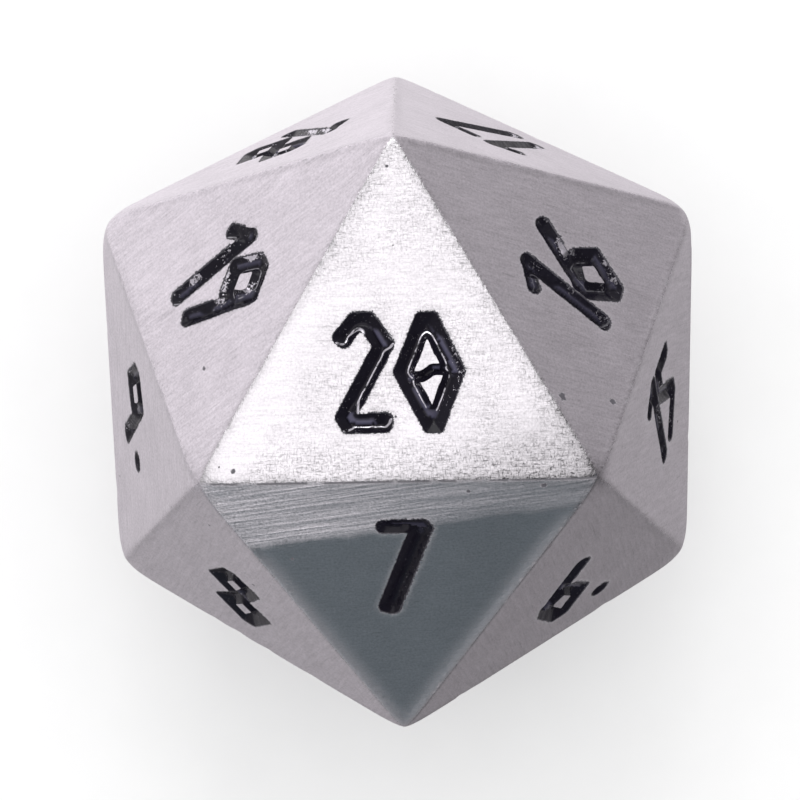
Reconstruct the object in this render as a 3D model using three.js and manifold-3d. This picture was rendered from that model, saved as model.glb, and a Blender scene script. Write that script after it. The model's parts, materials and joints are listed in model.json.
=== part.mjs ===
// A twenty-sided metal gaming die: a solid icosahedron with a pocket for each digit on its faces,
// and a black enamel filling in each pocket.
// Millimetres. The die rests on face 2 at z = 0 with face 20 level on top, and the numerals read
// upright with the pole of the countdown (the corner that 16 to 20 share) towards +Y.
import * as THREE from "three";
import { ConvexGeometry } from "three/addons/geometries/ConvexGeometry.js";
import { mergeVertices } from "three/addons/utils/BufferGeometryUtils.js";
import Module from "manifold-3d";

const wasm = await Module();
wasm.setup();

// ---- driving dimensions ----
const FACE_TO_FACE = 22; // between opposite faces
const GOLDEN = (1 + Math.sqrt(5)) / 2;
const EDGE = (FACE_TO_FACE * Math.sqrt(3)) / GOLDEN ** 2; // of the sharp icosahedron
const INRADIUS = FACE_TO_FACE / 2;
const CIRCUMRADIUS = (EDGE * Math.sqrt(GOLDEN * Math.sqrt(5))) / 2;
const EDGE_BREAK = 0.07; // width taken off each face along its edges
const CORNER_BREAK = 0.45; // length taken off each face at its corners

const NUMERAL_HEIGHT = 4.3;
const UNIT = NUMERAL_HEIGHT / 10; // numerals are drawn on a grid ten units high
const STROKE = 0.72; // half the width of a stroke, in units
const GAP_AFTER = { 1: 0.3, 2: -0.35 }; // between a number's first digit and its second, in units
const POCKET_DEPTH = 0.7;
const ENAMEL_TOP = 0.12; // the enamel's level below the face
const ENAMEL_GAP = 0.03; // kept between the enamel and the pocket's walls and floor
const END_CUT = 0.45; // share of a stroke's half width taken off the corners of its ends
const CURVE_STEPS = 6; // for half of a dot's outline

// How far a numeral's middle lies above the middle of its face, for each ring of faces.
const CAP_RISE = -0.33;
const HANGING_RISE = 0.17;
const STANDING_RISE = -0.2;

// ---- materials ----
const metal = new THREE.MeshStandardMaterial({ color: 0xb4b0b6, roughness: 0.35, metalness: 1 });
const enamel = new THREE.MeshStandardMaterial({ color: 0x0c0a12, roughness: 0.25, metalness: 0 });

// ---- digits ----
// Each digit is a list of strokes on a grid ten units high: the points of the stroke's middle line,
// whether it closes on itself, and half its width. The style is angular, as if cut with a chisel.
const line = (points, half = STROKE) => ({ points, half, closed: false });
const ring = (points, half = STROKE) => ({ points, half, closed: true });

const DIGITS = {
  0: [
    ring([[2.5, 9.25], [3.05, 9.25], [5.05, 5.05], [3.4, 0.78], [3.05, 0.78], [0.8, 5.1]]),
    line([[0.9, 4.6], [2.4, 4.7], [3.3, 5.3], [5.0, 5.2]], 0.4),
  ],
  1: [
    line([[2.75, 10.1], [2.65, 0.1]]),
    line([[0.35, 7.75], [2.6, 9.35]], 0.62),
  ],
  2: [
    line([[0.75, 7.5], [2.2, 9.3], [3.2, 9.3], [4.55, 7.35], [1.3, 1.35], [1.6, 0.85], [5.1, 0.85]]),
  ],
  3: [
    line([[0.3, 9.3], [4.3, 9.3], [2.3, 5.7], [4.5, 3.7], [3.9, 2.8], [0.5, 0.6]]),
  ],
  4: [
    line([[2.9, 10], [1.0, 3.9], [1.4, 3.1], [5.3, 3.1]]),
    line([[3.9, 6.3], [3.6, 0]]),
  ],
  5: [
    line([[4.4, 9.3], [1.1, 9.3], [1.0, 6.7], [3.95, 4.6], [4.0, 3.9], [1.2, 0.5]], 0.75),
  ],
  6: [
    line([[4.1, 9.9], [0.95, 4.1]], 0.8),
    ring([[0.85, 4.2], [2.65, 5.5], [3.1, 5.4], [4.75, 3.6], [3.3, 0.85], [2.6, 0.8], [0.85, 3.1]], 0.78),
  ],
  7: [
    line([[0.6, 9.4], [4.85, 9.4]], 0.62),
    line([[4.5, 9.75], [1.25, -0.3]], 0.86),
  ],
  8: [
    ring([[2.6, 9.2], [3.1, 9.2], [4.75, 7.6], [3.1, 5.3], [2.6, 5.3], [0.95, 7.3]], 0.74),
    ring([[2.7, 4.9], [3.2, 4.9], [4.95, 3.1], [3.1, 0.8], [2.6, 0.8], [0.8, 2.9]], 0.78),
  ],
  9: [
    ring([[2.2, 9.15], [3.0, 9.2], [4.75, 7.4], [4.4, 6.4], [3.1, 5.2], [2.5, 5.3], [0.85, 7.1]], 0.74),
    line([[4.85, 7.6], [1.55, 0.35]], 0.76),
  ],
};

// The dot that tells 6 from 9, at the foot of the numeral on its right.
const DOT_RADIUS = 0.85;
const DOTS = { 6: [7.6, 0.7], 9: [5.5, 1.1] };

// How far some numerals lie to the right of the middle of their face, in units.
const SHIFTS = { 7: 0.25, 9: -1, 16: -0.4 };

// ---- outlines ----
const vec = ([x, y]) => new THREE.Vector2(x, y);

// Where the lines through a and b, with directions u and v, meet.
function crossing(a, u, b, v) {
  const along = b.clone().sub(a).cross(v) / u.cross(v);
  return a.clone().addScaledVector(u, along);
}

// The points at a distance to the left of a stroke's middle line (to the right if it is negative).
// A short span that turns back on itself on the inside of a bend is left out.
function offsetPoints(points, distance, closed) {
  const count = points.length;
  const lines = [];
  for (let i = 0; i < (closed ? count : count - 1); i += 1) {
    const direction = points[(i + 1) % count].clone().sub(points[i]).normalize();
    const shift = new THREE.Vector2(-direction.y, direction.x).multiplyScalar(distance);
    lines.push({
      from: points[i].clone().add(shift),
      to: points[(i + 1) % count].clone().add(shift),
      direction,
    });
  }
  for (;;) {
    const made = lines.map((line, i) => {
      const before = lines[(i + lines.length - 1) % lines.length];
      if (!closed && i === 0) return line.from;
      return crossing(before.from, before.direction, line.from, line.direction);
    });
    if (!closed) made.push(lines.at(-1).to);
    const turned = lines.findIndex(
      ({ direction }, i) => made[(i + 1) % made.length].clone().sub(made[i]).dot(direction) <= 0,
    );
    if (turned < 0) return made;
    lines.splice(turned, 1);
  }
}

// A stroke's outline, grown by a margin. An open stroke has blunt ends with their corners taken off.
function strokeShape({ points, half, closed }, margin) {
  const middle = points.map(vec);
  const reach = half + margin;
  if (closed) {
    if (THREE.ShapeUtils.isClockWise(middle)) middle.reverse();
    const shape = new THREE.Shape(offsetPoints(middle, -reach, true));
    shape.holes.push(new THREE.Path(offsetPoints(middle, reach, true)));
    return shape;
  }
  const count = middle.length;
  const first = middle[1].clone().sub(middle[0]).normalize();
  const last = middle[count - 1].clone().sub(middle[count - 2]).normalize();
  middle[0].addScaledVector(first, -margin);
  middle[count - 1].addScaledVector(last, margin);
  const left = offsetPoints(middle, reach, false);
  const right = offsetPoints(middle, -reach, false);
  const nip = reach * END_CUT;
  const cut = (corner, across, along) => [
    corner.clone().addScaledVector(along, nip),
    corner.clone().addScaledVector(across, nip),
  ];
  const firstLeft = new THREE.Vector2(-first.y, first.x);
  const lastLeft = new THREE.Vector2(-last.y, last.x);
  const startLeft = cut(left.shift(), firstLeft.clone().negate(), first);
  const startRight = cut(right.shift(), firstLeft, first);
  const endLeft = cut(left.pop(), lastLeft.clone().negate(), last.clone().negate());
  const endRight = cut(right.pop(), lastLeft, last.clone().negate());
  return new THREE.Shape([
    startLeft[0],
    ...left,
    ...endLeft,
    ...endRight.reverse(),
    ...right.reverse(),
    ...startRight,
    startLeft[1],
  ]);
}

function dotShape([x, y], margin) {
  const shape = new THREE.Shape();
  shape.absarc(x, y, DOT_RADIUS + margin, 0, 2 * Math.PI);
  return shape;
}

// ---- solids ----
function toSolid(geometry) {
  const bare = geometry.clone();
  bare.deleteAttribute("normal");
  bare.deleteAttribute("uv");
  const merged = mergeVertices(bare, 1e-4);
  return new wasm.Manifold(
    new wasm.Mesh({
      numProp: 3,
      vertProperties: new Float32Array(merged.attributes.position.array),
      triVerts: new Uint32Array(merged.index.array),
    }),
  );
}

function toGeometry(solid) {
  const { vertProperties, triVerts } = solid.getMesh();
  const geometry = new THREE.BufferGeometry();
  geometry.setAttribute("position", new THREE.BufferAttribute(vertProperties, 3));
  geometry.setIndex(new THREE.BufferAttribute(triVerts, 1));
  geometry.computeVertexNormals();
  return geometry;
}

// The shapes, drawn in grid units, as one solid between two levels, in millimetres.
function slab(shapes, low, high) {
  return shapes
    .map((shape) => {
      const geometry = new THREE.ExtrudeGeometry(shape, {
        depth: high - low,
        bevelEnabled: false,
        curveSegments: CURVE_STEPS,
      });
      geometry.scale(UNIT, UNIT, 1);
      geometry.translate(0, 0, low);
      return toSolid(geometry);
    })
    .reduce((all, next) => all.add(next));
}

// ---- the icosahedron ----
// Its poles are on Z, with one ring of five corners round each pole.
const TURN = 2 * Math.PI;
const RING_LATITUDE = Math.atan(1 / 2);

function corner(latitude, azimuth) {
  const flat = CIRCUMRADIUS * Math.cos(latitude);
  return new THREE.Vector3(
    flat * Math.cos(azimuth),
    flat * Math.sin(azimuth),
    CIRCUMRADIUS * Math.sin(latitude),
  );
}

const pole = corner(Math.PI / 2, 0);
const foot = corner(-Math.PI / 2, 0);
const upper = (k) => corner(RING_LATITUDE, (TURN * (k - 1.75)) / 5);
const lower = (k) => corner(-RING_LATITUDE, (TURN * (k - 1.25)) / 5);

// The numbers count down along neighbouring faces: round the cap, back round the belt of hanging
// and standing faces, and round the base.
const CAP = [20, 16, 17, 18, 19];
const HANGING = [7, 15, 13, 11, 9];
const STANDING = [6, 14, 12, 10, 8];
const BASE = [5, 1, 2, 3, 4];

const faces = [];
for (let k = 0; k < 5; k += 1) {
  faces.push({ number: CAP[k], corners: [pole, upper(k), upper(k + 1)], rise: CAP_RISE });
  faces.push({ number: HANGING[k], corners: [upper(k + 1), upper(k), lower(k)], rise: HANGING_RISE });
  faces.push({ number: STANDING[k], corners: [upper(k + 1), lower(k), lower(k + 1)], rise: STANDING_RISE });
  faces.push({ number: BASE[k], corners: [foot, lower(k + 1), lower(k)], rise: HANGING_RISE });
}

// A face's own frame: origin in the middle of the face, Z out of the die, and Y along the face
// towards the pole, so that every numeral reads upright with the pole on top.
function faceFrame(corners) {
  const middle = corners.reduce((sum, point) => sum.add(point), new THREE.Vector3());
  middle.divideScalar(corners.length);
  const out = middle.clone().normalize();
  const up = pole.clone().normalize();
  up.addScaledVector(out, -up.dot(out)).normalize();
  const right = up.clone().cross(out);
  return new THREE.Matrix4().makeBasis(right, up, out).setPosition(middle);
}

// A face's outline, drawn in from its edges and blunted at its corners.
function facePoints(corners) {
  return corners.flatMap((point, i) => {
    const [next, last] = [corners[(i + 1) % 3], corners[(i + 2) % 3]];
    const toNext = next.clone().sub(point).normalize();
    const toLast = last.clone().sub(point).normalize();
    const inset = EDGE_BREAK / Math.sin(Math.PI / 3);
    const inner = point.clone().addScaledVector(toNext, inset).addScaledVector(toLast, inset);
    return [
      inner.clone().addScaledVector(toNext, CORNER_BREAK),
      inner.clone().addScaledVector(toLast, CORNER_BREAK),
    ];
  });
}

// ---- numerals ----
const extent = (digit) => {
  const spans = DIGITS[digit].flatMap(({ points, half }) => points.map(([x]) => [x - half, x + half]));
  return [Math.min(...spans.map((s) => s[0])), Math.max(...spans.map((s) => s[1]))];
};

// The pieces of a number, each with its name, its shapes for a margin, and its shift along X.
function numeralPieces(number) {
  const digits = String(number);
  const names = digits.length === 2 ? ["tens", "units"] : ["digit"];
  let left = 0;
  const pieces = [...digits].map((digit, i) => {
    const [low, high] = extent(digit);
    const piece = {
      name: names[i],
      shapes: (margin) => DIGITS[digit].map((stroke) => strokeShape(stroke, margin)),
      shift: left - low,
    };
    left += high - low + (i < digits.length - 1 ? GAP_AFTER[digit] : 0);
    return piece;
  });
  const dot = DOTS[number];
  if (dot) pieces.push({ name: "dot", shapes: (margin) => [dotShape(dot, margin)], shift: 0 });
  const toMiddle = (SHIFTS[number] ?? 0) - left / 2;
  return pieces.map((piece) => ({ ...piece, shift: piece.shift + toMiddle }));
}

const die = new THREE.Group();
const fillings = new THREE.Group();
let body = toSolid(new ConvexGeometry(faces.flatMap(({ corners }) => facePoints(corners))));

for (const { number, corners, rise } of faces) {
  const frame = faceFrame(corners);
  for (const { name, shapes, shift } of numeralPieces(number)) {
    const place = new THREE.Matrix4().makeTranslation(shift * UNIT, rise - NUMERAL_HEIGHT / 2, 0);
    place.premultiply(frame);
    const pocket = slab(shapes(ENAMEL_GAP / UNIT), -POCKET_DEPTH, 1);
    body = body.subtract(toSolid(toGeometry(pocket).applyMatrix4(place)));
    const filling = toGeometry(slab(shapes(0), ENAMEL_GAP - POCKET_DEPTH, -ENAMEL_TOP));
    const mesh = new THREE.Mesh(filling, enamel);
    mesh.name = `face_${String(number).padStart(2, "0")}_${name}_enamel`;
    mesh.applyMatrix4(place);
    fillings.add(mesh);
  }
}

const dieBody = new THREE.Mesh(toGeometry(body), metal);
dieBody.name = "die_body";
die.add(dieBody, fillings);

// Tip the pole from vertical towards +Y until face 20 is level, and stand the die on face 2.
die.rotation.x = -Math.acos(INRADIUS / CIRCUMRADIUS);
die.position.z = INRADIUS;

const part = new THREE.Group();
part.add(die);

export default part;
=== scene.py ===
import json
import math

import bpy
import numpy as np
from mathutils import Matrix, Vector, noise
from mathutils.geometry import delaunay_2d_cdt
from mathutils.kdtree import KDTree


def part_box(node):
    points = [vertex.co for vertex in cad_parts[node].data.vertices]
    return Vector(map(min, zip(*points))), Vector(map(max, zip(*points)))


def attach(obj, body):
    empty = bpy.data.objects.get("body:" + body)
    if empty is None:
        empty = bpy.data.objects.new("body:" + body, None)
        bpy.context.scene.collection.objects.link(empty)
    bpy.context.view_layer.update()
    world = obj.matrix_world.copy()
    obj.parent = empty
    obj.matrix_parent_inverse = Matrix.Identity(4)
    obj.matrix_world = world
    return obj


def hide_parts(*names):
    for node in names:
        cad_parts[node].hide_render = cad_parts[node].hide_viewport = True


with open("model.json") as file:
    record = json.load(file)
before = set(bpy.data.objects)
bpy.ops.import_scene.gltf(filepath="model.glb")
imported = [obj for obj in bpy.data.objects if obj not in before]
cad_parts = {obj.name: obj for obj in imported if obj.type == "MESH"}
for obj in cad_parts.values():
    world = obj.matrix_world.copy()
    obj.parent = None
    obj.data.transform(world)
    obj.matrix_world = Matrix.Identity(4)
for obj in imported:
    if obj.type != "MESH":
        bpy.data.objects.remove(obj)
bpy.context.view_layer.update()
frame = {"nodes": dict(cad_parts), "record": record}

# The die is worked out in millimetres from its own middle, and written in metres.
MM = 0.001
SEED = 20

# The metal skin: its edges are crisp above one height and softer below another. Its corners are worn back.
CRISP_EDGES = 420.0
SOFT_EDGES = 170.0
HIGH_EDGES = 5.0
LOW_EDGES = -1.0
CORNER_WEAR = 0.03
SIDE_WEAR = 0.33
CORNER_BLEND = 70.0
BORDER_STEPS = 60
WELD = 0.0005
BORDER_ROWS = [0.02, 0.05, 0.09, 0.15, 0.24, 0.4, 0.65, 1.05]
NICKS_PER_FACET = 5
NICK_SIZES = (0.12, 0.35)
NICK_DEPTHS = (0.01, 0.04)

# The sunk numerals: the outline's finish, and the section of the groove and of its enamel.
OUTLINE_STEP = 0.06
OUTLINE_PASSES = 2
UNTANGLE_PASSES = 12
OUTLINE_WOBBLE = 0.014
OUTLINE_BURR = 0.13
BURR_CLEARANCE = 3
HOLLOW_BEND = -0.05
FAR_ALONG = 8
ROOM_SHARE = 0.42
HOLLOW_REACH = 0.3
POCKET_GAP = 0.03
# Rows outside each outline: offset in millimetres, and the share of a grey halo there, painted shade of the
# groove's sloping lip and smeared enamel.
LIP_ROWS = [(0.1, 0.62), (0.26, 0.0)]
POCKET_ROWS = [(0.026, 0.0), (0.01, 0.004), (0.0, 0.016), (-0.008, 0.06), (-0.03, 0.5)]
DEEP = 0.05
# How dark each pocket's rim is painted, outside and round islands: smeared enamel, and painted shade over the
# rim's bright reflection.
SMEAR_AT_RIM = 0.75
SMEAR_AT_ISLAND = 0.15
ENAMEL_RIM = (-0.001, 0.024)
ENAMEL_FOOT = (-0.06, 0.42)
ENAMEL_STEP = 0.085
ENAMEL_SECOND_ROW = -0.04
ENAMEL_GRID_GAP = 0.08
ENAMEL_SHARP = 65
STEEP_SIDE = 1.1
GENTLE_SIDE = 0.55
STEEP_TOWARDS = (0.45, -0.9, 0.0)
GROOVE_DEPTH = 0.3
POOL_DEPTH = 0.09
# How much of the painted reflection in the pools shows on a numeral with no painted crease highlight.
POOL_SHEEN_SHOWS = 0.35
POOL_EDGE = 0.05
CREASE_EASE = 0.03
RIDGE_HEIGHT = 0.03
RIDGE_WIDTH = 0.06
RIM_FADE = 0.1

# How the die was brushed, seen from above: each numeral's worn side, and the strokes' bearing in degrees.
WEAR_TOWARDS = {19: (-0.35, 0.94, 0.0), 16: (0.75, 0.66, 0.0)}
USUAL_WEAR = (0.6, 0.8, 0.0)
STROKES = {20: 0.0, 19: 33.0, 16: -12.0, 7: 4.0, 18: 20.0, 17: -20.0}
STROKE_TURN = 50.0

# How strong the painted highlight along the enamel's crease is, and how far the enamel is worn at its rim, by
# the start of its node's name.
CREASE_HIGHLIGHT_AND_RIM_WEAR = {"face_20": (1.0, 0.55), "face_19": (0.35, 0.8), "face_16_units": (0.12, 1.0),
        "face_16_tens": (0.1, 0.3), "face_07": (0.0, 0.1), "face_18": (0.9, 0.8), "face_17": (0.4, 0.6)}
USUAL_CREASE_HIGHLIGHT_AND_RIM_WEAR = (0.0, 0.35)


def unit(v):
    return v / np.linalg.norm(v)


def wave(points, scale, seed):
    """A smooth random value for each point, about -1 to 1."""
    shift = Vector((seed, -seed, seed * 0.5))
    return np.array([noise.noise(Vector(p) * scale + shift) for p in points])


# ---- The twenty facets, from the record's mounts. A mount has an axis out of its facet, and a point on the
# facet that is off its middle, in the direction taken as up.

low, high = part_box("die_body")
CENTRE = np.array((low + high) / 2) / MM
INRADIUS = (high.z - low.z) / 2 / MM


class Facet:
    def __init__(self, mount):
        self.number = int(mount["name"][-2:])
        self.normal = unit(np.array(mount["axis"]))
        point = np.array(mount["pos_m"]) / MM - CENTRE
        self.up = unit(point - self.normal * (point @ self.normal))
        self.right = np.cross(self.up, self.normal)
        self.axes = np.array([self.right, self.up, self.normal])
        self.wear = self.way(WEAR_TOWARDS.get(self.number, USUAL_WEAR))
        self.stroke = self.seen_way(STROKES.get(self.number, self.number * STROKE_TURN))
        self.rims = []

    def flat(self, points):
        """Points in the facet's own frame: right, up and out."""
        return points @ self.axes.T

    def solid(self, points):
        """Points of the facet's own frame, back in the die's."""
        return points @ self.axes

    def way(self, direction):
        """A direction in space, laid into the facet."""
        return unit(self.axes[:2] @ np.array(direction))

    def seen_way(self, degrees):
        """The direction in the facet that has the given bearing when it is seen from above."""
        x, y = math.cos(math.radians(degrees)), math.sin(math.radians(degrees))
        return self.way((x, y, -(x * self.normal[0] + y * self.normal[1]) / self.normal[2]))


facets = [Facet(m) for m in frame["record"]["mounts"]]
NORMALS = np.array([f.normal for f in facets])

for facet in facets:
    beside = NORMALS[np.argsort(-(NORMALS @ facet.normal))[1:4]]
    planes = [np.array([facet.normal, beside[k], beside[(k + 1) % 3]]) for k in range(3)]
    facet.corners = [np.linalg.solve(p, np.full(3, INRADIUS)) for p in planes]

CORNERS = []
for facet in facets:
    for corner in facet.corners:
        if all(np.linalg.norm(corner - c) > 1 for c in CORNERS):
            CORNERS.append(corner)
CORNERS = np.array(CORNERS)
CIRCUMRADIUS = np.linalg.norm(CORNERS[0])
FACET_INRADIUS = math.sqrt(CIRCUMRADIUS ** 2 - INRADIUS ** 2) / 2

# The corners at the sides are knocked back the most.
corner_wear = CORNER_WEAR + SIDE_WEAR * np.abs(CORNERS[:, 0]) / CIRCUMRADIUS
CORNER_PULL = (INRADIUS / (CIRCUMRADIUS - corner_wear))[:, None] * CORNERS / CIRCUMRADIUS


def skin(points):
    """Moves points of the sharp solid onto the die's worn skin, and gives the skin's normals there."""
    u = points / np.linalg.norm(points, axis=1)[:, None]
    share = np.clip((points[:, 2] - LOW_EDGES) / (HIGH_EDGES - LOW_EDGES), 0, 1)
    sharp = SOFT_EDGES + (CRISP_EDGES - SOFT_EDGES) * share
    reach = np.clip(u @ NORMALS.T, 1e-3, None)
    flat_reach = (reach ** sharp[:, None]).sum(axis=1) ** (1 / sharp)
    flat_pull = (reach / flat_reach[:, None]) ** (sharp[:, None] - 1) @ NORMALS
    corner = u @ CORNER_PULL.T
    corner_reach, corner_pull = corner.max(axis=1), CORNER_PULL[corner.argmax(axis=1)]
    total = (flat_reach ** CORNER_BLEND + corner_reach ** CORNER_BLEND) ** (1 / CORNER_BLEND)
    flat_part = ((flat_reach / total) ** (CORNER_BLEND - 1))[:, None] * flat_pull
    normals = flat_part + ((corner_reach / total) ** (CORNER_BLEND - 1))[:, None] * corner_pull
    return u * (INRADIUS / total)[:, None], normals / np.linalg.norm(normals, axis=1)[:, None]


def edge_points(a, b, steps):
    """Points from a up to b, the same whichever of the two facets beside the edge asks for them."""
    turned = tuple(np.round(a, 4)) > tuple(np.round(b, 4))
    first, last = (b, a) if turned else (a, b)
    t = np.linspace(0, 1, steps + 1)[:, None]
    row = first * (1 - t) + last * t
    return (row[::-1] if turned else row)[:-1]


# ---- The numerals' outlines, from the top faces of the CAD enamel.

def top_loops(node, facet):
    """The closed outlines of an enamel node's top face, with the enamel on the left of each."""
    mesh = node.data
    flat = facet.flat(np.array([v.co for v in mesh.vertices]) / MM - CENTRE)
    level = flat[:, 2].max() - 0.01
    following = {}
    for polygon in mesh.polygons:
        ring = list(polygon.vertices)
        if min(flat[i, 2] for i in ring) < level:
            continue
        keys = [tuple(np.round(flat[i, :2], 3)) for i in ring]
        for a, b in zip(keys, keys[1:] + keys[:1]):
            if following.get(b, set()) and a in following[b]:
                following[b].discard(a)
            else:
                following.setdefault(a, set()).add(b)
    loops = []
    while any(following.values()):
        start = next(k for k in sorted(following) if following[k])
        loop = [start]
        while True:
            here = following[loop[-1]].pop()
            if here == start:
                break
            loop.append(here)
        loops.append(np.array(loop))
    return loops


def outward(loop):
    along = np.roll(loop, -1, axis=0) - np.roll(loop, 1, axis=0)
    side = np.stack([along[:, 1], -along[:, 0]], axis=1)
    return side / np.linalg.norm(side, axis=1)[:, None]


def area(loop):
    x, y = loop.T
    return (x * np.roll(y, -1) - y * np.roll(x, -1)).sum() / 2


def resample(loop, step):
    closed = np.vstack([loop, loop[:1]])
    along = np.concatenate([[0], np.cumsum(np.linalg.norm(np.diff(closed, axis=0), axis=1))])
    count = max(12, int(along[-1] / step))
    t = np.linspace(0, along[-1], count, endpoint=False)
    return np.stack([np.interp(t, along, closed[:, k]) for k in range(2)], axis=1)


def eased(ring):
    return (np.roll(ring, 1, axis=0) + 2 * ring + np.roll(ring, -1, axis=0)) / 4


def untangled(ring, along):
    """The ring, eased wherever an offset has turned a step back against the way along it."""
    for _ in range(UNTANGLE_PASSES):
        steps = np.roll(ring, -1, axis=0) - ring
        tangled = (steps * along).sum(axis=1) < 0.2 * OUTLINE_STEP
        if not tangled.any():
            break
        near = tangled | np.roll(tangled, 1) | np.roll(tangled, 2) | np.roll(tangled, -1)
        ring = np.where(near[:, None], eased(ring), ring)
    return ring


def room_outside(loop, out, others):
    """How far each point of a loop could move out before it met the loop's other side or another numeral."""
    count = len(loop)
    between = loop[None] - loop[:, None]
    away = np.linalg.norm(between, axis=2)
    ahead = (between * out[:, None]).sum(axis=2) > 0.5 * away
    steps = np.abs(np.arange(count)[:, None] - np.arange(count))
    far = np.minimum(steps, count - steps) > FAR_ALONG
    room = np.where(ahead & far, away, np.inf).min(axis=1)
    for other in others:
        room = np.minimum(room, nearest(loop, resample(other, OUTLINE_STEP))[0])
    return room


class Outline:
    """A numeral's outline, calm as cut and ragged as brushed, with burrs on the side that was worn."""

    def __init__(self, loop, facet, seed, others):
        loop = resample(loop, OUTLINE_STEP)
        for _ in range(OUTLINE_PASSES):
            loop = eased(loop)
        self.island = area(loop) < 0
        self.out = outward(loop)
        steps = np.roll(loop, -1, axis=0) - loop
        self.along = steps / np.linalg.norm(steps, axis=1)[:, None]
        room = ROOM_SHARE * room_outside(loop, self.out, others)
        gap = np.minimum(POCKET_GAP, room / 2)
        self.calm = untangled(loop + self.out * gap[:, None], self.along)
        self.reach = np.ones(len(loop))
        self.burr = np.clip(self.out @ facet.wear, 0, 1) * (not self.island)
        before, after = np.roll(self.out, 1, axis=0), np.roll(self.out, -1, axis=0)
        hollow = before[:, 0] * after[:, 1] - before[:, 1] * after[:, 0] < HOLLOW_BEND
        for shift in range(-BURR_CLEARANCE, BURR_CLEARANCE + 1):
            self.burr[np.roll(hollow, shift)] = 0
            self.reach[np.roll(hollow, shift)] = HOLLOW_REACH
        places = np.column_stack([loop, np.full(len(loop), seed)])
        wobble = OUTLINE_WOBBLE * (wave(places, 2.2, seed) + 1.6 * wave(places, 9.0, seed + 3))
        wobble += OUTLINE_BURR * self.burr ** 2 * np.abs(wave(places, 13.0, seed + 5))
        wobble = np.minimum(wobble * self.reach, np.maximum(room - gap - POCKET_ROWS[0][0], 0))
        self.ragged = untangled(self.calm + self.out * wobble[:, None], self.along)
        self.spare = room - gap - np.maximum(wobble, 0)

    def row(self, offset, deep=False):
        """The outline moved out by an offset, or in where it is negative: calm when deep, and else ragged."""
        spread = np.full(len(self), offset)
        if offset > 0:
            spread = np.minimum(offset * self.reach, self.spare)
        start = self.calm if deep else self.ragged
        return untangled(start + self.out * spread[:, None], self.along)

    def __len__(self):
        return len(self.calm)


def inside(points, loops):
    """Even-odd test of points against closed loops."""
    hit = np.zeros(len(points), bool)
    for loop in loops:
        a, b = loop, np.roll(loop, -1, axis=0)
        for (ax, ay), (bx, by) in zip(a, b):
            if ay == by:
                continue
            crosses = (points[:, 1] < ay) != (points[:, 1] < by)
            hit ^= crosses & (points[:, 0] < (bx - ax) * (points[:, 1] - ay) / (by - ay) + ax)
    return hit


def triangulated(points, edges):
    """Constrained triangles over flat points: the points used, the triangles, and each point's new place."""
    made = delaunay_2d_cdt([Vector(p) for p in points], edges, [], 1, 1e-6)
    placed = {old: new for new, olds in enumerate(made[3]) for old in olds}
    return np.array([tuple(v) for v in made[0]]), [tuple(f) for f in made[2]], placed


def ring_edges(start, count):
    return [(start + k, start + (k + 1) % count) for k in range(count)]


# ---- Meshes.

class Shell:
    """Points and faces of one closed surface, in millimetres from the die's middle."""

    def __init__(self):
        self.points, self.faces = [], []
        self.values = {}

    def add(self, points, **values):
        start = len(self.points)
        self.points.extend(np.asarray(points))
        for name, value in values.items():
            self.values.setdefault(name, []).extend(np.broadcast_to(value, len(points)))
        return start


def welded(shell):
    """The shell with the points that two facets share made one."""
    points = np.array(shell.points)
    tree = KDTree(len(points))
    for k, point in enumerate(points):
        tree.insert(point, k)
    tree.balance()
    index = [min(found[1] for found in tree.find_range(point, WELD)) for point in points]
    used = sorted(set(index))
    place = {old: new for new, old in enumerate(used)}
    faces = [list(dict.fromkeys(place[index[i]] for i in face)) for face in shell.faces]
    kept = [k for k, face in enumerate(faces) if len(face) > 2]
    values = {name: np.array(value)[used] for name, value in shell.values.items()}
    return points[used], [faces[k] for k in kept], values, kept


def mesh_object(name, points, faces):
    mesh = bpy.data.meshes.new(name)
    mesh.from_pydata([tuple((p + CENTRE) * MM) for p in points], [], faces)
    mesh.polygons.foreach_set("use_smooth", np.ones(len(mesh.polygons), bool))
    piece = bpy.data.objects.new(name, mesh)
    bpy.context.collection.objects.link(piece)
    return piece


def facet_surface(facet):
    """The facet as flat triangles with its numerals cut out, each pocket's first ring, and the smear with
    painted shade.
    """
    corners = facet.corners
    if np.cross(corners[1] - corners[0], corners[2] - corners[0]) @ facet.normal < 0:
        corners = corners[::-1]
    middle = sum(corners) / 3
    points, edges = [], []
    sides = [edge_points(corners[k], corners[(k + 1) % 3], BORDER_STEPS) for k in range(3)]
    border = np.vstack(sides)
    points.extend(facet.flat(border)[:, :2])
    edges += ring_edges(0, len(border))
    for row in BORDER_ROWS:
        keep = 1 - row / FACET_INRADIUS
        points.extend(facet.flat(middle + (border - middle) * keep)[:, :2])
    starts, lips = [], []
    for loop in facet.rims:
        for offset, share in ([] if loop.island else LIP_ROWS):
            row = loop.calm + loop.out * offset
            smears = share * (0.3 + 0.7 * loop.burr)
            lips += [(len(points) + k, smears[k]) for k in range(len(row))]
            points.extend(row)
        starts.append(len(points))
        first = loop.row(POCKET_ROWS[0][0])
        edges += ring_edges(len(points), len(first))
        points.extend(first)
    flat, triangles, placed = triangulated(points, edges)
    rims = [np.array([points[s + k] for k in range(len(loop))]) for s, loop in zip(starts, facet.rims)]
    centres = np.array([flat[list(t)].mean(axis=0) for t in triangles])
    cut = inside(centres, rims)
    kept = [t for t, gone in zip(triangles, cut) if not gone]
    rings = [[placed[s + k] for k in range(len(loop))] for s, loop in zip(starts, facet.rims)]
    smear = np.zeros(len(flat))
    for index, share in lips:
        smear[placed[index]] = share
    for loop, ring in zip(facet.rims, rings):
        smear[ring] = SMEAR_AT_ISLAND if loop.island else SMEAR_AT_RIM + 0.2 * loop.burr
    return flat, kept, rings, smear


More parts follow.
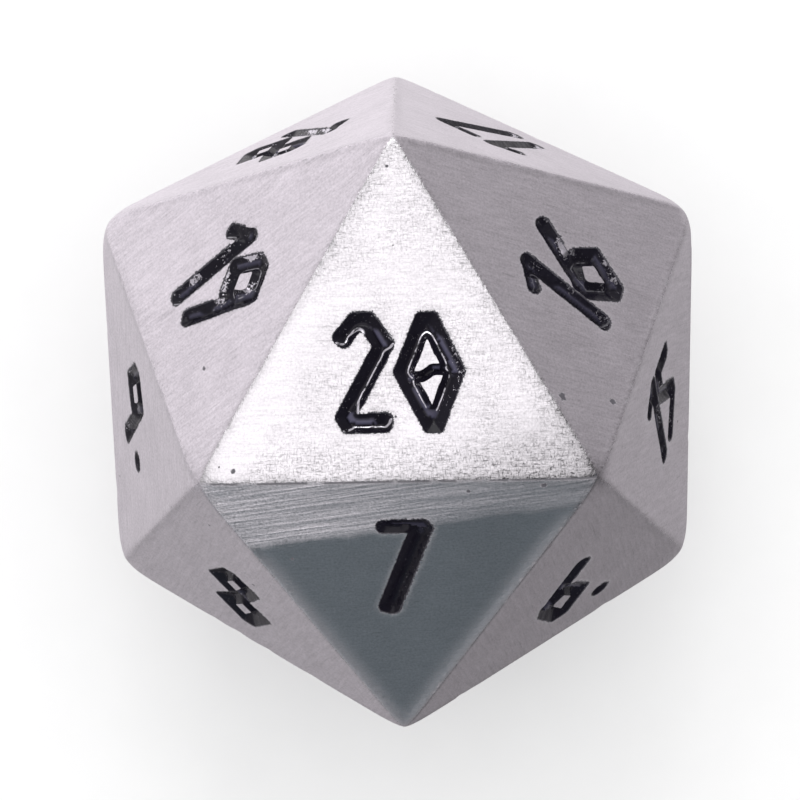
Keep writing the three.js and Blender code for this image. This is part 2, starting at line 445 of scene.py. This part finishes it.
def lift(facet, flat, depth):
    """Flat points of the facet, depth millimetres under its surface."""
    heights = INRADIUS - np.broadcast_to(depth, len(flat))
    return facet.solid(np.column_stack([flat, heights]))


def nick_places():
    """Small knocks on the edges: place, size and depth of each."""
    draw = np.random.default_rng(SEED + 1)
    nicks = []
    for facet in facets:
        for _ in range(NICKS_PER_FACET):
            k = draw.integers(3)
            t = draw.uniform(0.03, 0.97)
            place = facet.corners[k] * (1 - t) + facet.corners[(k + 1) % 3] * t
            nicks.append((place, draw.uniform(*NICK_SIZES), draw.uniform(*NICK_DEPTHS)))
    return nicks


def build_body():
    """The metal as one closed mesh: worn skin, and a stepped pocket for every numeral."""
    shell = Shell()
    facet_of_face = []
    for order, facet in enumerate(facets):
        flat, triangles, rings, smear = facet_surface(facet)
        start = shell.add(lift(facet, flat, 0), smear=smear)
        shell.faces += [tuple(start + i for i in t) for t in triangles]
        floor_loops, floor_starts = [], []
        for loop, ring in zip(facet.rims, rings):
            upper = [start + k for k in ring]
            for offset, depth in POCKET_ROWS[1:]:
                row = loop.row(offset, depth > DEEP)
                first = shell.add(lift(facet, row, depth), smear=1.0 + min(1.0, depth / 0.02))
                lower = list(range(first, first + len(loop)))
                for a, b, c, d in zip(upper, lower, lower[1:] + lower[:1], upper[1:] + upper[:1]):
                    shell.faces.append((d, a, b, c))
                upper = lower
            floor_loops.append(row)
            floor_starts.append(upper[0])
        shell.faces += filled(floor_loops, floor_starts)
        facet_of_face += [order] * (len(shell.faces) - len(facet_of_face))
    sharp, faces, values, kept = welded(shell)
    rim = np.abs((sharp @ NORMALS.T).max(axis=1) - INRADIUS) < 1e-4
    points, normals = skin(sharp)
    points[~rim] = sharp[~rim]
    normals[~rim] = 0
    for place, size, depth in nick_places():
        away = np.linalg.norm(points - place, axis=1)
        hit = rim & (away < 2.5 * size)
        fall = depth * np.exp(-(away[hit] / size) ** 2)
        points[hit] *= (1 - fall / CIRCUMRADIUS)[:, None]
        normals[hit & (away < 1.2 * size)] = 0
    body = mesh_object("die_metal", points, faces)
    mesh = body.data
    point_values(mesh, smear=values["smear"])
    vertex = np.zeros(len(mesh.loops), int)
    mesh.loops.foreach_get("vertex_index", vertex)
    of_loop = np.repeat(np.array(facet_of_face)[kept], [len(face) for face in faces])
    axes = np.array([f.axes for f in facets])[of_loop]
    place = np.einsum("lak,lk->la", axes, sharp[vertex])
    place[:, 2] = np.array([f.number for f in facets])[of_loop]
    strokes = np.array([f.stroke for f in facets])[of_loop]
    along = place[:, 0] * strokes[:, 0] + place[:, 1] * strokes[:, 1]
    beside = place[:, 1] * strokes[:, 0] - place[:, 0] * strokes[:, 1]
    stroke_place = np.column_stack([along, beside, place[:, 2]])
    for name, value in [("facet_place", place), ("stroke_place", stroke_place)]:
        layer = mesh.attributes.new(name, "FLOAT_VECTOR", "CORNER")
        layer.data.foreach_set("vector", value.astype(np.float32).ravel())
    mesh.normals_split_custom_set_from_vertices([tuple(n) for n in normals])
    return body


def filled(loops, starts, turned=False):
    """Faces that close one end of a strip of points, whose loops start at the given points."""
    points, edges, origin = [], [], []
    for loop, start in zip(loops, starts):
        edges += ring_edges(len(points), len(loop))
        points.extend(loop)
        origin += [start + k for k in range(len(loop))]
    used, triangles, placed = triangulated(points, edges)
    back = {new: origin[old] for old, new in placed.items()}
    centres = np.array([used[list(t)].mean(axis=0) for t in triangles])
    kept = [t for t, within in zip(triangles, inside(centres, loops)) if within]
    return [tuple(back[i] for i in (reversed(t) if turned else t)) for t in kept]


def point_values(mesh, **layers):
    for name, values in layers.items():
        layer = mesh.attributes.new(name, "FLOAT", "POINT")
        layer.data.foreach_set("value", np.asarray(values, np.float32))


def nearest(flat, cloud):
    """Distance from each flat point to a cloud of points, and which of them is nearest."""
    apart = ((flat[:, None, :] - cloud[None]) ** 2).sum(axis=2)
    return np.sqrt(apart.min(axis=1)), apart.argmin(axis=1)


def groove_depth(flat, loops, facet, seed):
    """The enamel's surface: a creased groove, part filled, with the values that its painted highlight and
    reflection and its wear follow.
    """
    clouds, outs, steep = [], [], []
    for loop in loops:
        rim = loop.row(ENAMEL_RIM[0])
        clouds.append(np.vstack([rim, (rim + np.roll(rim, -1, axis=0)) / 2]))
        outs.append(np.vstack([loop.out, loop.out]))
        faces_down = outs[-1] @ facet.way(STEEP_TOWARDS) > 0.3
        steep.append(np.full(len(rim) * 2, loop.island) if len(loops) > 1 else faces_down)
    cloud, out, steep = np.vstack(clouds), np.vstack(outs), np.concatenate(steep)
    to_steep, _ = nearest(flat, cloud[steep])
    to_gentle, _ = nearest(flat, cloud[~steep])
    rim, at = nearest(flat, cloud)
    fall_a, fall_b = to_steep * STEEP_SIDE, to_gentle * GENTLE_SIDE
    depth = -CREASE_EASE * np.log(np.exp(-fall_a / CREASE_EASE) + np.exp(-fall_b / CREASE_EASE))
    places = np.column_stack([flat, np.full(len(flat), seed)])
    # Painted reflection: the enamel pools on the side of each stroke that faces the worn side, and is
    # coloured there as if lit.
    facing = np.clip(out[at] @ facet.wear, 0, 1)
    pool = np.clip(2.2 * (facing - 0.52) + 1.6 * wave(places, 0.9, seed + 11), 0, 1)
    level = GROOVE_DEPTH - (GROOVE_DEPTH - POOL_DEPTH) * pool
    pooled_sheen = np.clip((depth - level) / POOL_EDGE, 0, 1) * pool
    depth = np.minimum(np.maximum(depth, 0), level)
    lumps = 0.012 * wave(places, 3.0, seed + 7) + 0.006 * wave(places, 11.0, seed + 9)
    crease = fall_a - fall_b
    inner = np.clip(rim / RIM_FADE, 0, 1)
    ridge = RIDGE_HEIGHT * np.exp(-(crease / RIDGE_WIDTH) ** 2) * inner
    depth = ENAMEL_RIM[1] + depth + lumps * inner - ridge
    return depth, {"rim": rim, "crease": crease, "pool": pooled_sheen, "facing": facing}


def build_enamel(node_name, facet, loops, seed):
    """One piece of enamel as a closed mesh: a grooved top, walls, and a flat foot inside its pocket."""
    shell = Shell()
    points, edges, starts, rims = [], [], [], []
    for loop in loops:
        rim = loop.row(ENAMEL_RIM[0])
        starts.append(len(points))
        edges += ring_edges(len(points), len(rim))
        points.extend(rim)
        rims.append(rim)
    for loop in loops:
        points.extend(loop.row(ENAMEL_SECOND_ROW))
    everything = np.vstack(rims)
    lowest, highest = everything.min(axis=0), everything.max(axis=0)
    rows = np.arange(lowest[1], highest[1], ENAMEL_STEP * math.sqrt(3) / 2)
    grid = np.array([(x + (j % 2) * ENAMEL_STEP / 2, y) for j, y in enumerate(rows)
                     for x in np.arange(lowest[0], highest[0], ENAMEL_STEP)])
    grid = grid[inside(grid, rims)]
    points.extend(grid[nearest(grid, everything)[0] > ENAMEL_GRID_GAP])
    flat, triangles, placed = triangulated(points, edges)
    centres = np.array([flat[list(t)].mean(axis=0) for t in triangles])
    triangles = [t for t, within in zip(triangles, inside(centres, rims)) if within]
    depth, values = groove_depth(flat, loops, facet, seed)
    at_rim = [placed[start + k] for start, rim in zip(starts, rims) for k in range(len(rim))]
    depth[at_rim] = ENAMEL_RIM[1]
    top = shell.add(lift(facet, flat, depth), **values)
    shell.faces += [tuple(top + i for i in t) for t in triangles]
    feet, foot_starts = [], []
    for loop, start in zip(loops, starts):
        foot = loop.row(ENAMEL_FOOT[0], deep=True)
        foot_points = lift(facet, foot, ENAMEL_FOOT[1])
        first = shell.add(foot_points, rim=0.0, crease=1.0, pool=0.0, facing=0.0)
        lower = list(range(first, first + len(loop)))
        upper = [top + placed[start + k] for k in range(len(loop))]
        for a, b, c, d in zip(upper, lower, lower[1:] + lower[:1], upper[1:] + upper[:1]):
            shell.faces.append((a, b, c, d))
        feet.append(foot)
        foot_starts.append(first)
    shell.faces += filled(feet, foot_starts, turned=True)
    piece = mesh_object(node_name.replace("_enamel", "_paint"), np.array(shell.points), shell.faces)
    # Each numeral's share of painted highlight along its crease, and how far its rim is worn.
    highlight_and_wear = [wear for start, wear in CREASE_HIGHLIGHT_AND_RIM_WEAR.items() if node_name.startswith(start)]
    ridge, worn = highlight_and_wear[0] if highlight_and_wear else USUAL_CREASE_HIGHLIGHT_AND_RIM_WEAR
    values = shell.values
    pool = np.array(values["pool"]) * (POOL_SHEEN_SHOWS + (1 - POOL_SHEEN_SHOWS) * ridge)
    point_values(piece.data, rim=values["rim"], crease=values["crease"], pool=pool,
                 ridge_wear=np.full(len(shell.points), ridge),
                 rim_wear=worn * (0.15 + 0.85 * np.array(values["facing"])))
    piece.data.set_sharp_from_angle(angle=math.radians(ENAMEL_SHARP))
    return piece


# ---- Materials.

class Tree:
    """Short calls for building a node tree."""

    def __init__(self, tree):
        self.tree = tree

    def put(self, kind, inputs=None, **settings):
        node = self.tree.nodes.new(kind)
        for name, value in settings.items():
            setattr(node, name, value)
        for name, value in (inputs or {}).items():
            self.feed(node.inputs[name], value)
        return node

    def feed(self, socket, value):
        if isinstance(value, bpy.types.NodeSocket):
            self.tree.links.new(value, socket)
        else:
            socket.default_value = value

    def math(self, operation, a, b=0.0, c=0.0):
        return self.put("ShaderNodeMath", {0: a, 1: b, 2: c}, operation=operation).outputs[0]

    def vector(self, operation, a, b=(0, 0, 0)):
        node = self.put("ShaderNodeVectorMath", {0: a, 1: b}, operation=operation)
        return node.outputs["Value" if operation == "DOT_PRODUCT" else 0]

    def ramp(self, value, low, high, to_low=0.0, to_high=1.0):
        """A smooth step from to_low, where the value is at low, to to_high, where it is at high."""
        inputs = {0: value, 1: low, 2: high, 3: to_low, 4: to_high}
        return self.put("ShaderNodeMapRange", inputs, interpolation_type="SMOOTHSTEP").outputs[0]

    def noise(self, place, scale, detail=2.0, roughness=0.5, stretch=(1, 1, 1)):
        stretched = self.vector("MULTIPLY", place, stretch)
        node = self.put("ShaderNodeTexNoise", {"Vector": stretched, "Scale": scale, "Detail": detail,
                                               "Roughness": roughness})
        return node.outputs["Fac"]

    def mix(self, share, a, b):
        node = self.put("ShaderNodeMix", {0: share, 6: a, 7: b}, data_type="RGBA")
        return node.outputs[2]

    def attribute(self, name, output="Fac"):
        return self.put("ShaderNodeAttribute", attribute_name=name).outputs[output]

    def bump(self, height, strength, distance):
        inputs = {"Height": height, "Strength": strength, "Distance": distance}
        return self.put("ShaderNodeBump", inputs).outputs[0]


def new_material(name):
    material = bpy.data.materials.new(name)
    material.use_nodes = True
    material.node_tree.nodes.clear()
    tree = Tree(material.node_tree)
    shader = tree.put("ShaderNodeBsdfPrincipled")
    output = tree.put("ShaderNodeOutputMaterial")
    tree.tree.links.new(shader.outputs[0], output.inputs[0])
    return material, tree, shader


# The larger dark specks on the metal: facet, place on it in millimetres from its middle, and radius.
MARKS = [(20, -5.9, -3.75, 0.10), (20, -6.4, -3.6, 0.05), (20, -0.05, 4.3, 0.045), (20, 7.2, -4.15, 0.08),
         (19, 3.05, -2.2, 0.10), (16, -5.3, -1.65, 0.20), (16, -3.95, -3.6, 0.17), (7, -5.2, -3.9, 0.12),
         (7, -2.5, -3.7, 0.08), (8, 1.2, 2.0, 0.08)]


IN_MILLIMETRES = (1000, 1000, 1000)

# A place on a facet has the facet's number as its third value. This sets the facets' patterns apart.
FACETS_APART = (1, 1, 7.3)


def metal_material():
    """Cast metal with brushed facets: crossed dashes on 20, strokes on the others, specks and worn edges."""
    material, t, shader = new_material("die_metal")
    raw = t.attribute("facet_place", "Vector")
    parts = t.put("ShaderNodeSeparateXYZ", {0: raw})
    x, y, number = parts.outputs[0], parts.outputs[1], parts.outputs[2]
    place = t.vector("MULTIPLY", raw, FACETS_APART)

    def facet_is(value):
        return t.math("COMPARE", number, value, 0.4)

    # Fine strokes along each facet's own direction, and on facet 20 a second set across them.
    straight = facet_is(20.0)
    along = t.vector("MULTIPLY", t.attribute("stroke_place", "Vector"), FACETS_APART)
    strokes = t.noise(along, 1.0, 3.0, 0.65, (0.8, 7.0, 1.0))
    fine = t.noise(along, 1.0, 3.0, 0.6, (1.6, 22.0, 1.0))
    finer = t.noise(along, 1.0, 2.0, 0.6, (3.5, 45.0, 1.0))
    across = t.noise(along, 1.0, 3.0, 0.6, (24.0, 2.4, 1.0))
    hairs = t.ramp(t.noise(along, 1.0, 1.0, 0.5, (0.9, 11.0, 1.0)), 0.32, 0.24)
    grain = t.noise(place, 11.0, 3.0, 0.7)
    blotch = t.noise(place, 0.45, 3.0, 0.55)

    # Distance to the facet's nearest edge.
    slope = math.sqrt(3) / 2
    side_a = t.vector("DOT_PRODUCT", raw, (slope, 0.5, 0))
    side_b = t.vector("DOT_PRODUCT", raw, (-slope, 0.5, 0))
    side_c = t.math("MULTIPLY", y, -1.0)
    edge = t.math("SUBTRACT", FACET_INRADIUS, t.math("MAXIMUM", side_c, t.math("MAXIMUM", side_a, side_b)))

    # Crossed dashes on facet 20, densest along its foot and duller towards its right foot. They stop short of
    # its left side.
    level_dash = t.ramp(t.noise(place, 1.0, 4.0, 0.8, (3.0, 14.0, 1.0)), 0.52, 0.34)
    plumb_dash = t.ramp(t.noise(place, 1.0, 4.0, 0.8, (14.0, 4.2, 1.0)), 0.52, 0.33)
    zone = t.ramp(t.noise(place, 0.5, 2.0, 0.5), 0.30, 0.72, 0.2, 0.8)
    zone = t.math("MAXIMUM", zone, t.ramp(y, -1.8, -3.6))
    zone = t.math("MAXIMUM", zone, t.ramp(edge, 1.4, 0.2, 0.0, 0.9))
    plain = t.math("MULTIPLY_ADD", blotch, 0.8, side_b)
    plain = t.ramp(plain, FACET_INRADIUS - 1.6, FACET_INRADIUS - 0.5)
    plain = t.math("MULTIPLY", plain, t.ramp(y, 4.0, 1.5))
    zone = t.math("MULTIPLY", zone, t.math("SUBTRACT", 1.0, plain))
    dashes = t.math("MULTIPLY", t.math("MULTIPLY", t.math("MAXIMUM", level_dash, plumb_dash), zone), straight)
    right_foot = t.math("MULTIPLY_ADD", x, 0.6, t.math("MULTIPLY", y, -1.0))
    dull = t.math("MULTIPLY", t.ramp(right_foot, 2.5, 7.5), straight)

    # The streaked band that facet 7 keeps beside facet 20, under a slanting line.
    slant = 0.156
    below = t.math("SUBTRACT", t.math("ADD", y, FACET_INRADIUS), t.math("MULTIPLY_ADD", x, slant, 2.2))
    waver = t.noise(place, 1.3, 2.0)
    streak_place = t.put("ShaderNodeCombineXYZ", {0: x, 1: below, 2: 3.0})
    streaks = t.noise(streak_place.outputs[0], 1.0, 4.0, 0.75, (0.22, 10.0, 1.0))
    band = t.math("MULTIPLY_ADD", waver, 0.4, t.math("MULTIPLY_ADD", streaks, 0.9, below))
    band = t.math("MULTIPLY", t.ramp(band, 0.85, 0.45), facet_is(7.0))
    bright = t.ramp(streaks, 0.42, 0.66)
    scratch = t.ramp(t.noise(streak_place.outputs[0], 1.0, 2.0, 0.5, (0.15, 16.0, 1.0)), 0.66, 0.72)
    bright = t.math("MAXIMUM", bright, t.math("MULTIPLY", scratch, 1.7))
    coarse = t.math("MULTIPLY_ADD", t.math("SUBTRACT", grain, 0.5), 1.4, 0.35)
    streaked = t.math("MULTIPLY", band, t.math("MAXIMUM", t.math("MULTIPLY_ADD", bright, 0.72, coarse), 0.0))
    streaked = t.math("MULTIPLY", streaked, t.ramp(x, -6.0, 5.5, 0.35, 1.0))

    # Facet 7's other two edges are rubbed, so its dark reflection gives way to pale speckles there.
    rubbed = t.ramp(t.math("MULTIPLY_ADD", t.math("SUBTRACT", grain, 0.5), 1.6, edge), 0.75, -0.25)
    rubbed = t.math("MULTIPLY", t.math("MULTIPLY", rubbed, t.ramp(below, -0.5, 1.5)), facet_is(7.0))
    streaked = t.math("MAXIMUM", streaked, t.math("MULTIPLY", rubbed, 0.42))

    tone = t.math("MULTIPLY_ADD", t.math("SUBTRACT", fine, 0.5), 0.30, 1.0)
    stroked = t.math("MULTIPLY_ADD", facet_is(7.0), -0.3, 0.42)
    tone = t.math("MULTIPLY_ADD", t.math("SUBTRACT", strokes, 0.5), stroked, tone)
    tone = t.math("MULTIPLY_ADD", t.math("SUBTRACT", grain, 0.5), 0.75, tone)
    tone = t.math("MULTIPLY_ADD", t.math("SUBTRACT", blotch, 0.5), 0.20, tone)
    tone = t.math("MULTIPLY_ADD", hairs, -0.13, tone)
    # A soft band near the facets' edges is darker, in blotches.
    edge_band_darkening = t.math("MULTIPLY", t.ramp(edge, 0.5, 0.0), t.ramp(blotch, 0.35, 0.65))
    tone = t.math("MULTIPLY_ADD", edge_band_darkening, -0.12, tone)
    tone = t.math("MULTIPLY_ADD", dashes, -0.62, tone)
    tone = t.math("MULTIPLY_ADD", dull, -0.3, tone)
    green = t.math("MULTIPLY_ADD", straight, 0.028, 0.765)
    shades = {k: t.math("MULTIPLY", tone, share) for k, share in enumerate((0.80, green, 0.81))}
    base = t.put("ShaderNodeCombineColor", shades)

    # Specks, the dark line under facet 20, dark patches along the edges, and smeared enamel with painted
    # shade round the numerals.
    cells = t.put("ShaderNodeTexVoronoi", {"Vector": place, "Scale": 0.75}, feature="F1")
    chosen = t.put("ShaderNodeSeparateColor", {0: cells.outputs["Color"]})
    dots = t.ramp(cells.outputs["Distance"], 0.05, 0.03)
    speck = t.math("MULTIPLY", dots, t.ramp(chosen.outputs[0], 0.80, 0.82))
    ragged = t.noise(place, 7.0, 3.0)
    for facet_number, mark_x, mark_y, radius in MARKS:
        mark = (mark_x, mark_y, facet_number)
        away = t.put("ShaderNodeVectorMath", {0: raw, 1: mark}, operation="DISTANCE")
        away = t.math("MULTIPLY_ADD", t.math("SUBTRACT", ragged, 0.5), radius * 2.2, away.outputs["Value"])
        speck = t.math("MAXIMUM", speck, t.ramp(away, radius, radius * 0.6))
    # A dark line in facet 7, right along its edge under facet 20.
    dark_edge_line = t.math("MULTIPLY", t.ramp(t.math("ADD", y, FACET_INRADIUS), 0.14, 0.05), facet_is(7.0))
    dark_edge_line = t.math("MULTIPLY", dark_edge_line, t.ramp(t.noise(place, 1.1, 3.0), 0.34, 0.48))
    speck = t.math("MAXIMUM", speck, t.math("MULTIPLY", dark_edge_line, 0.9))
    # Darker patches right along the facets' edges.
    edge_patches = t.ramp(t.noise(place, 2.6, 3.0), 0.58, 0.68)
    edge_darkening = t.math("MULTIPLY", t.ramp(edge, 0.16, 0.04), edge_patches)
    speck = t.math("MAXIMUM", speck, t.math("MULTIPLY", edge_darkening, 0.4))
    # Painted shade: a grey halo on the numerals' lips and a darkened rim, together with enamel smeared there
    # and on the pocket walls.
    smear = t.attribute("smear")
    smudge_and_shade = t.math("MULTIPLY", t.math("MINIMUM", smear, 1.0), t.ramp(ragged, 0.3, 0.6))
    flake = t.math("SUBTRACT", t.noise(place, 14.0, 2.0, 0.6), 0.5)
    flake = t.ramp(t.math("MULTIPLY_ADD", flake, 1.5, smear), 0.60, 0.76)
    painted = t.math("MAXIMUM", t.math("MULTIPLY", smudge_and_shade, 0.4), t.math("MULTIPLY", flake, 0.95))
    dark = t.math("MAXIMUM", t.math("MULTIPLY", speck, 0.9), painted)
    colour = t.mix(dark, base.outputs[0], (0.02, 0.018, 0.03, 1))
    t.feed(shader.inputs["Base Color"], colour)
    metallic = t.math("MULTIPLY_ADD", streaked, -0.45, 1.0)
    t.feed(shader.inputs["Metallic"], t.math("MULTIPLY", metallic, t.math("SUBTRACT", 1.0, dark)))

    rough = t.math("MULTIPLY_ADD", fine, 0.16, 0.26)
    rough = t.math("MULTIPLY_ADD", t.ramp(edge, 0.12, 0.0), -0.06, rough)
    fuzz = t.math("MULTIPLY", t.ramp(edge, 0.38, 0.0), t.noise(place, 6.0, 3.0, 0.7))
    rough = t.math("MULTIPLY_ADD", streaked, 0.25, rough)
    t.feed(shader.inputs["Roughness"], rough)

    height = t.math("MULTIPLY_ADD", finer, 0.5, fine)
    height = t.math("MULTIPLY_ADD", hairs, -0.6, height)
    height = t.math("MULTIPLY_ADD", t.math("MULTIPLY", across, straight), 1.0, height)
    height = t.math("MULTIPLY_ADD", grain, 0.6, height)
    height = t.math("MULTIPLY_ADD", speck, -2.0, height)
    height = t.math("MULTIPLY_ADD", t.math("MULTIPLY", streaks, band), 5.0, height)
    height = t.math("MULTIPLY_ADD", fuzz, 11.0, height)
    t.feed(shader.inputs["Normal"], t.bump(height, 0.6, 0.006 * MM))
    return material


def enamel_material():
    """Gloss black enamel: a painted highlight on the groove's crease, a painted reflection where it pools,
    bare metal flecks on the rim.
    """
    material, t, shader = new_material("numeral_enamel")
    place = t.vector("MULTIPLY", t.put("ShaderNodeTexCoord").outputs["Object"], IN_MILLIMETRES)
    crease = t.math("ABSOLUTE", t.attribute("crease"))
    rim = t.attribute("rim")
    breakup = t.noise(place, 2.0, 3.0, 0.6)
    # Painted highlight: a thin line of pale metal along the groove's crease, standing in for the light caught
    # there.
    line = t.math("MULTIPLY", t.ramp(crease, 0.05, 0.022), t.ramp(breakup, 0.40, 0.52))
    line = t.math("MULTIPLY", line, t.attribute("ridge_wear"))
    flecks = t.noise(place, 11.0, 4.0, 0.75)
    patches = t.ramp(t.noise(place, 0.9, 2.0), 0.45, 0.62)
    reach = t.math("MULTIPLY", patches, t.attribute("rim_wear"))
    near = t.ramp(rim, 0.42, 0.0)
    worn = t.math("MULTIPLY", near, reach)
    worn = t.ramp(t.math("MULTIPLY_ADD", worn, 0.42, flecks), 0.66, 0.70)
    highlight_and_bare_metal = t.math("MAXIMUM", line, worn)
    colour = t.mix(breakup, (0.004, 0.003, 0.006, 1), (0.010, 0.009, 0.016, 1))
    # Painted reflection: bluish grey where the enamel pools.
    colour = t.mix(t.attribute("pool"), colour, (0.070, 0.066, 0.105, 1))
    t.feed(shader.inputs["Base Color"], t.mix(highlight_and_bare_metal, colour, (0.72, 0.70, 0.76, 1)))
    t.feed(shader.inputs["Metallic"], highlight_and_bare_metal)
    t.feed(shader.inputs["Roughness"], t.math("MULTIPLY_ADD", t.noise(place, 3.0, 3.0), 0.2, 0.1))
    height = t.math("ADD", t.noise(place, 5.0, 3.0), t.math("MULTIPLY", highlight_and_bare_metal, 0.6))
    t.feed(shader.inputs["Normal"], t.bump(height, 0.35, 0.02 * MM))
    shader.inputs["IOR"].default_value = 1.28
    return material


def floor_material():
    material, t, shader = new_material("pale_floor")
    place = t.vector("MULTIPLY", t.put("ShaderNodeTexCoord").outputs["Object"], IN_MILLIMETRES)
    grain = t.noise(place, 0.4, 3.0)
    t.feed(shader.inputs["Base Color"], t.mix(grain, (0.90, 0.90, 0.90, 1), (0.93, 0.93, 0.93, 1)))
    shader.inputs["Roughness"].default_value = 0.8
    return material


# ---- Studio: floor, light and camera.

FLOOR_REACH = 3.0


def build_floor():
    mesh = bpy.data.meshes.new("floor")
    corners = [(-1, -1), (1, -1), (1, 1), (-1, 1)]
    mesh.from_pydata([(x * FLOOR_REACH, y * FLOOR_REACH, 0) for x, y in corners], [], [(0, 1, 2, 3)])
    floor = bpy.data.objects.new("floor", mesh)
    bpy.context.collection.objects.link(floor)
    mesh.materials.append(floor_material())
    floor.visible_glossy = False


# The surroundings' radiance: what the metal mirrors at its darkest and from overhead, and the even light.
DARKEST = 0.11
OVERHEAD = 1.45
SOFT_FILL = 1.1


def build_world():
    """Soft studio surroundings: bright overhead and behind to the left, dim in front."""
    world = bpy.data.worlds.new("studio")
    world.use_nodes = True
    world.node_tree.nodes.clear()
    t = Tree(world.node_tree)
    towards = t.put("ShaderNodeTexCoord").outputs["Generated"]
    parts = t.put("ShaderNodeSeparateXYZ", {0: towards})
    x, y, z = parts.outputs

    def slope(start, across, along):
        return t.math("MULTIPLY_ADD", y, along, t.math("MULTIPLY_ADD", x, across, start))

    # Radiance round the horizon, and lower down where a table would be seen, where it is brighter behind.
    behind = t.math("MULTIPLY", t.math("MAXIMUM", y, 0.0), t.math("MULTIPLY_ADD", x, -0.5, 0.24))
    table = t.math("ADD", slope(0.52, -0.16, 0.37), behind)
    level = t.put("ShaderNodeMix", {0: t.ramp(z, -0.7, 0.0), 2: table, 3: slope(0.43, -0.285, 0.32)})
    level = t.math("MAXIMUM", level.outputs[0], DARKEST)
    level = t.math("MULTIPLY", level, t.ramp(z, 0.1, 0.6, 1.0, 0.8))
    level = t.math("MULTIPLY_ADD", t.ramp(z, 0.80, 0.97), t.math("SUBTRACT", OVERHEAD, level), level)
    cool = t.math("MULTIPLY", t.ramp(y, -0.6, -0.9), t.ramp(z, -0.4, -0.1))
    tint = t.mix(cool, (1.02, 0.98, 1.01, 1), (0.78, 1.0, 1.08, 1))
    lit = t.put("ShaderNodeBackground", {0: tint, 1: level})
    seen = t.put("ShaderNodeBackground", {0: (1, 1, 1, 1), 1: 1.0})
    fill = t.put("ShaderNodeBackground", {0: (1, 1, 1, 1), 1: SOFT_FILL})
    path = t.put("ShaderNodeLightPath")
    by_ray = lit.outputs[0]
    for ray, shade in [("Is Diffuse Ray", fill), ("Is Camera Ray", seen)]:
        inputs = {0: path.outputs[ray], 1: by_ray, 2: shade.outputs[0]}
        by_ray = t.put("ShaderNodeMixShader", inputs).outputs[0]
    output = t.put("ShaderNodeOutputWorld")
    t.tree.links.new(by_ray, output.inputs[0])
    world.cycles.sampling_method = "NONE"
    bpy.context.scene.world = world


# A round soft light behind the die: where it stands from the die's middle, its diameter, and its watts.
LIGHT_AZIMUTH = 95
LIGHT_ELEVATION = 42
LIGHT_DISTANCE = 160
LIGHT_DIAMETER = 90
LIGHT_POWER = 0.05


def build_light():
    data = bpy.data.lights.new("back_light", "AREA")
    data.shape = "DISK"
    data.size = LIGHT_DIAMETER * MM
    data.energy = LIGHT_POWER
    light = bpy.data.objects.new("back_light", data)
    a, e = math.radians(LIGHT_AZIMUTH), math.radians(LIGHT_ELEVATION)
    way = np.array([math.cos(e) * math.cos(a), math.cos(e) * math.sin(a), math.sin(e)])
    turn = Vector(-way).to_track_quat("-Z", "Y").to_matrix().to_4x4()
    light.matrix_world = Matrix.Translation(Vector(CENTRE + way * LIGHT_DISTANCE) * MM) @ turn
    bpy.context.collection.objects.link(light)


# The camera, from the die's middle: its place, what it looks at, and its roll and angle of view in degrees.
CAMERA_PLACE = (0.98, -7.89, 94.03)
CAMERA_TARGET = (0.0, -0.42, 0.0)
CAMERA_ROLL = 0.94
CAMERA_ANGLE = 19.52


def build_camera():
    data = bpy.data.cameras.new("camera")
    data.sensor_fit = "HORIZONTAL"
    data.angle = math.radians(CAMERA_ANGLE)
    data.clip_start = 0.005
    data.clip_end = 20
    camera = bpy.data.objects.new("camera", data)
    place, target = CENTRE + np.array(CAMERA_PLACE), CENTRE + np.array(CAMERA_TARGET)
    forward = Vector(target - place).normalized()
    up = (Vector((0, 1, 0)) - forward * forward.y).normalized()
    up = Matrix.Rotation(math.radians(CAMERA_ROLL), 3, forward) @ up
    turn = Matrix((forward.cross(up), up, -forward)).transposed().to_4x4()
    camera.matrix_world = Matrix.Translation(Vector(place) * MM) @ turn
    bpy.context.collection.objects.link(camera)
    bpy.context.scene.camera = camera


# ---- The whole scene.

by_number = {f.number: f for f in facets}
nodes = sorted(frame["nodes"].items())
enamel_nodes = {name: node for name, node in nodes if name.endswith("_enamel")}
facet_of = {name: by_number[int(name[5:7])] for name in enamel_nodes}
cut = {name: top_loops(node, facet_of[name]) for name, node in enamel_nodes.items()}
outlines = []
for k, (name, facet) in enumerate(facet_of.items()):
    others = [loop for other in cut if other != name and facet_of[other] is facet for loop in cut[other]]
    loops = [Outline(loop, facet, k + 1.0, others) for loop in cut[name]]
    facet.rims += loops
    outlines.append((name, facet, loops, k + 1.0))

metal, enamel = metal_material(), enamel_material()

body = build_body()
body.data.materials.append(metal)
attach(body, "root")
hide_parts("die_body")

for name, facet, loops, seed in outlines:
    piece = build_enamel(name, facet, loops, seed)
    piece.data.materials.append(enamel)
    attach(piece, "root")
    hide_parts(name)

build_floor()
build_world()
build_light()
build_camera()
bpy.context.scene.view_settings.view_transform = "Standard"
